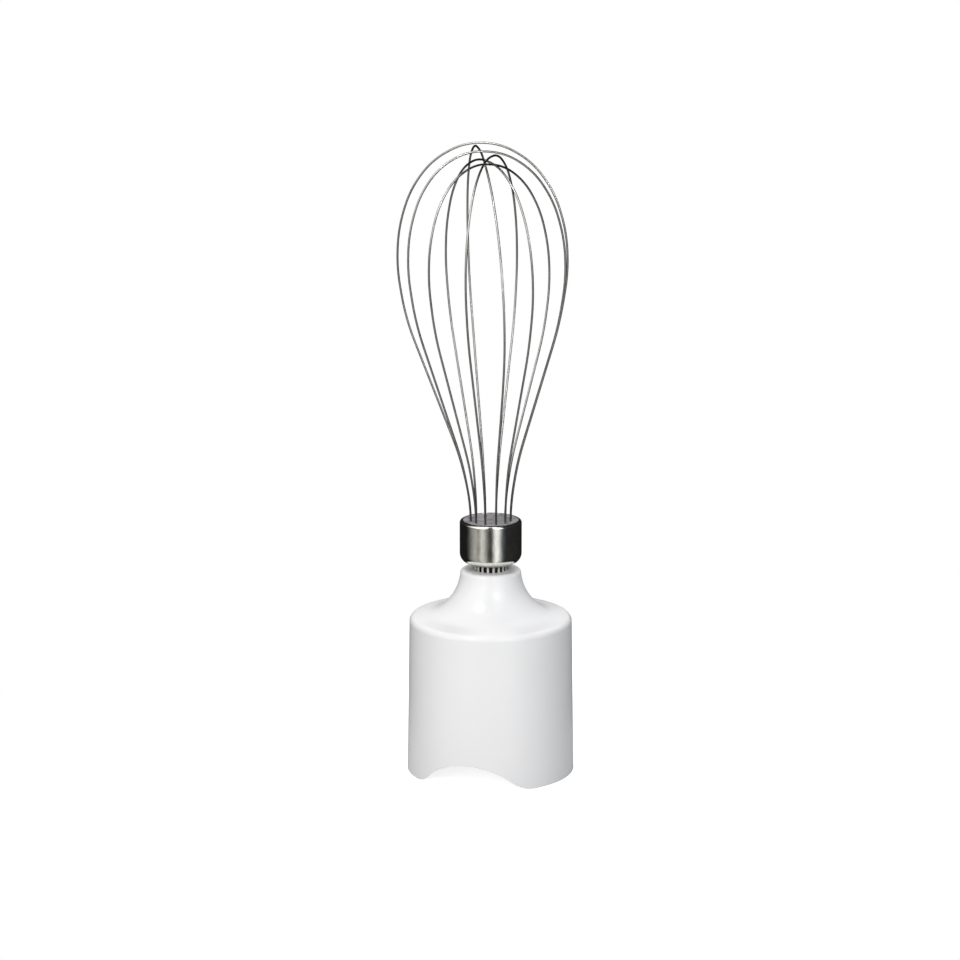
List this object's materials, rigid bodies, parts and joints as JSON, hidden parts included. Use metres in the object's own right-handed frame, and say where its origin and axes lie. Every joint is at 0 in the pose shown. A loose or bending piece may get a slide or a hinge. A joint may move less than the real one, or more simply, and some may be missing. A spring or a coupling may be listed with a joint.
{
  "type": "hand blender whisk attachment",
  "caption": "Whisk attachment for a hand blender: flared gearbox housing with an arched skirt socket, reduction gears inside, and a pull-out balloon whisk of steel wire loops.",
  "frame": {"origin": "middle of the skirt's bottom plane, on the axis that the whisk spins about, at the mouth of the motor socket", "axes": "+Z along the spin axis, up from the skirt to the top of the balloon; the view looks along +Y with +X to the right"},
  "size_m": [0.0658, 0.0624, 0.2358],
  "materials": {
    "housing_white": "gloss",
    "cover_white": "satin",
    "gear_plastic": "satin",
    "hub_white": "satin",
    "bush_bronze": "satin",
    "seal_rubber": "matte",
    "turned_steel": "satin",
    "ferrule_steel": "polished",
    "wire_steel": "polished"
  },
  "bodies": {
    "housing": {"gearbox_housing": "housing_white", "gearbox_cover": "cover_white", "cover_screw_1": "turned_steel", "cover_screw_2": "turned_steel", "cover_screw_3": "turned_steel", "ring_gear": "gear_plastic", "output_bush": "bush_bronze", "shaft_seal": "seal_rubber", "thrust_washer": "turned_steel", "input_bush": "bush_bronze"},
    "input": {"input_coupling": "gear_plastic", "input_shaft": "turned_steel", "sun_gear": "gear_plastic"},
    "planet_1": {"planet_gear_1": "gear_plastic"},
    "planet_2": {"planet_gear_2": "gear_plastic"},
    "planet_3": {"planet_gear_3": "gear_plastic"},
    "output": {"planet_carrier": "gear_plastic", "planet_pin_1": "turned_steel", "planet_pin_2": "turned_steel", "planet_pin_3": "turned_steel", "retaining_clip": "turned_steel", "stem_guide": "gear_plastic"},
    "whisk": {"whisk_hub": "hub_white", "whisk_stem": "turned_steel", "ferrule": "ferrule_steel", "wire_plate": "turned_steel", "wire_loop_1": "wire_steel", "wire_loop_2": "wire_steel", "wire_loop_3": "wire_steel", "wire_loop_4": "wire_steel", "wire_loop_5": "wire_steel", "wire_loop_6": "wire_steel"}
  },
  "joints": [
    {"name": "output_spin", "type": "hinge", "parent": "housing", "child": "output", "pos_m": [0, 0, 0.05], "axis": [0, 0, 1], "continuous": true},
    {"name": "input_spin", "type": "hinge", "parent": "housing", "child": "input", "pos_m": [0, 0, 0.03], "axis": [0, 0, 1], "continuous": true},
    {"name": "planet_1_spin", "type": "hinge", "parent": "output", "child": "planet_1", "pos_m": [0, 0.0108, 0.037], "axis": [0, 0, 1], "continuous": true},
    {"name": "planet_2_spin", "type": "hinge", "parent": "output", "child": "planet_2", "pos_m": [-0.00935, -0.0054, 0.037], "axis": [0, 0, 1], "continuous": true},
    {"name": "planet_3_spin", "type": "hinge", "parent": "output", "child": "planet_3", "pos_m": [0.00935, -0.0054, 0.037], "axis": [0, 0, 1], "continuous": true},
    {"name": "whisk_release", "type": "slide", "parent": "output", "child": "whisk", "axis": [0, 0, 1], "range_m": [0, 0.03]}
  ],
  "couplings": [
    {"joint": "input_spin", "follows": "output_spin", "ratio": 6},
    {"joint": "planet_1_spin", "follows": "output_spin", "ratio": -2.5},
    {"joint": "planet_2_spin", "follows": "output_spin", "ratio": -2.5},
    {"joint": "planet_3_spin", "follows": "output_spin", "ratio": -2.5}
  ]
}
